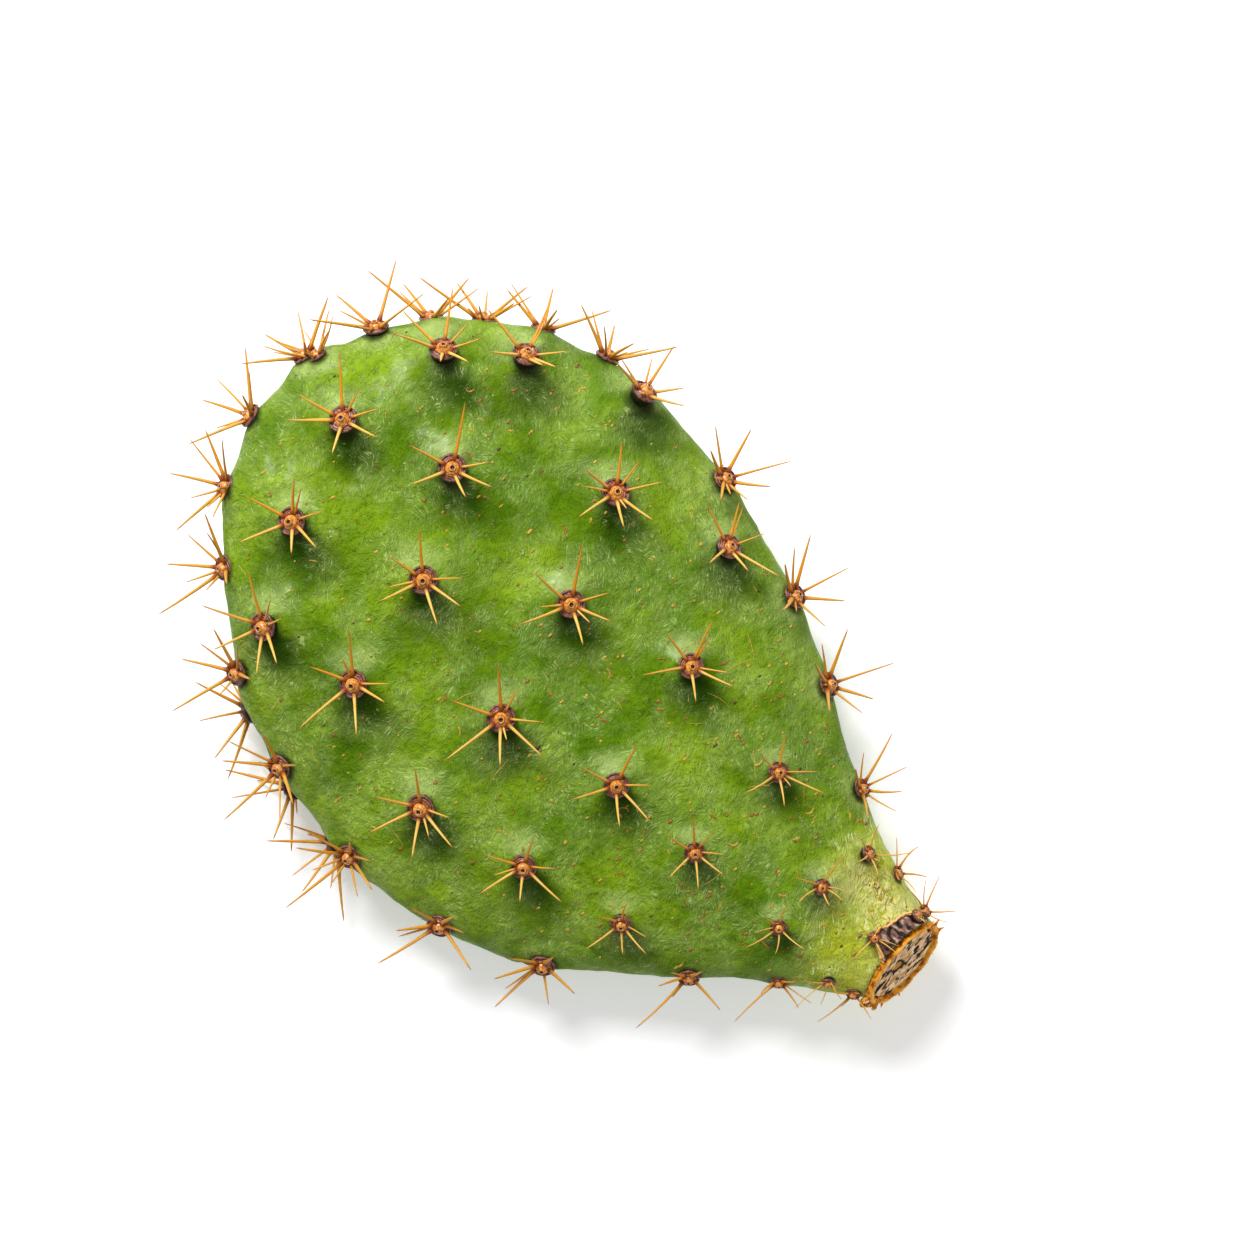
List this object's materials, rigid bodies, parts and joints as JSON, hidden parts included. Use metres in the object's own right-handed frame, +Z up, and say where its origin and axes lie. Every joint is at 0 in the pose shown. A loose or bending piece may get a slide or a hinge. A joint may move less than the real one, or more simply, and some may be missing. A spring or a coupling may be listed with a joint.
{
  "type": "prickly pear cactus pad",
  "caption": "Egg-shaped flat prickly pear pad with spiny areole cushions on both faces and round its rim, and a dry corky cut end.",
  "frame": {"origin": "on the surface that the pad rests on, under the middle of its bounding box", "axes": "+Y along the pad from its cut end to its tip, +Z up out of its showy face, +X across the pad"},
  "size_m": [0.1564, 0.2166, 0.0402],
  "materials": {
    "skin": "waxy green skin",
    "callus": "dry corky scab",
    "areole": "woody orange-brown cushions",
    "spine": "smooth amber spines"
  },
  "bodies": {
    "root": {"pad": "skin", "callus": "callus"}
  },
  "joints": []
}
